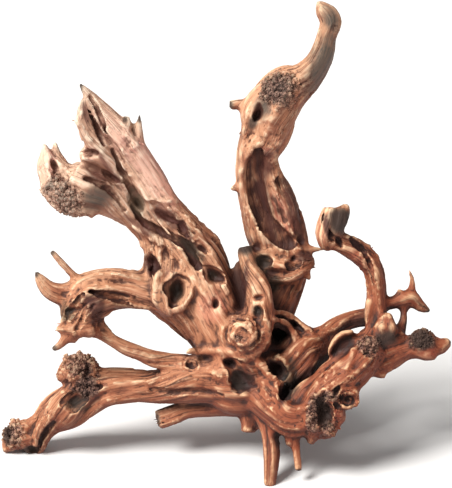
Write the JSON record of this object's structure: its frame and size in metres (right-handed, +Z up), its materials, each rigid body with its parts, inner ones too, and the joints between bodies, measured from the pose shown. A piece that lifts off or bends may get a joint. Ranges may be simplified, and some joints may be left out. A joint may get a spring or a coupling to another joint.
{
  "type": "coral driftwood",
  "caption": "Weathered driftwood root with twisted limbs, spikes, knots and worn hollows, standing free on its low root ends as a natural display piece.",
  "frame": {"origin": "centre of the bounding box's bottom, on the surface that the root stands on", "axes": "+Z up, +X to the right across the root's width and +Y away from the side that faces the viewer"},
  "size_m": [0.46, 0.1749, 0.4676],
  "materials": {
    "root_wood": "bare, weathered and dull"
  },
  "bodies": {
    "root": {"root_wood": "root_wood"}
  },
  "joints": []
}
